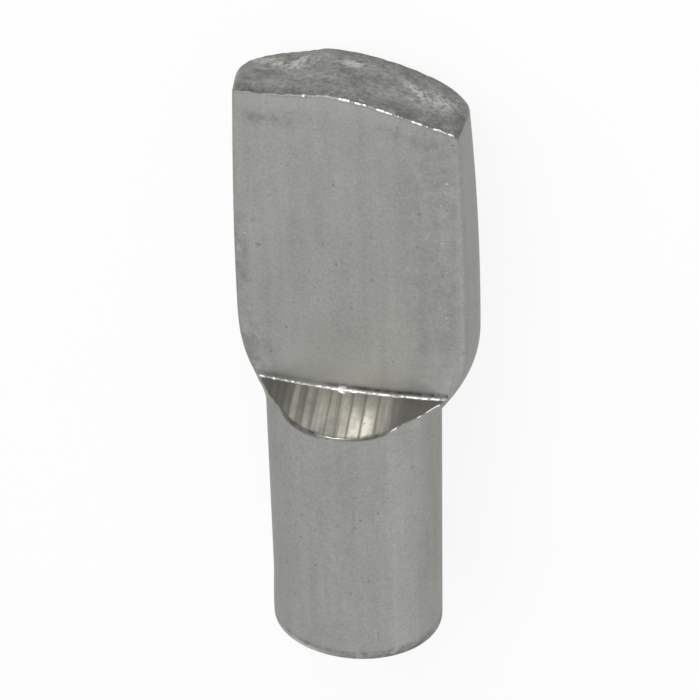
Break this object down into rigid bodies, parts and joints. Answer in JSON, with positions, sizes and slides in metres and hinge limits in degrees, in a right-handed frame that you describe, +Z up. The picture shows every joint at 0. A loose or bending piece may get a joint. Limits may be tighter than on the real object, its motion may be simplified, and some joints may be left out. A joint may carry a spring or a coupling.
{
  "type": "shelf support pin",
  "caption": "Spoon-shaped shelf support pin: a round pin for a drilled hole, forged flat into a paddle whose upper face carries the shelf.",
  "frame": {"origin": "on the pin's axis, where the flare first leaves the round pin, which is about the plane of the cabinet wall in use", "axes": "the pin points along -Y into the wall, the paddle along +Y into the cabinet, and the flat shelf face looks up along +Z"},
  "size_m": [0.0086, 0.0222, 0.0065],
  "materials": {
    "nickel": "satin nickel plate"
  },
  "bodies": {
    "root": {"shelf_pin": "nickel"}
  },
  "joints": []
}
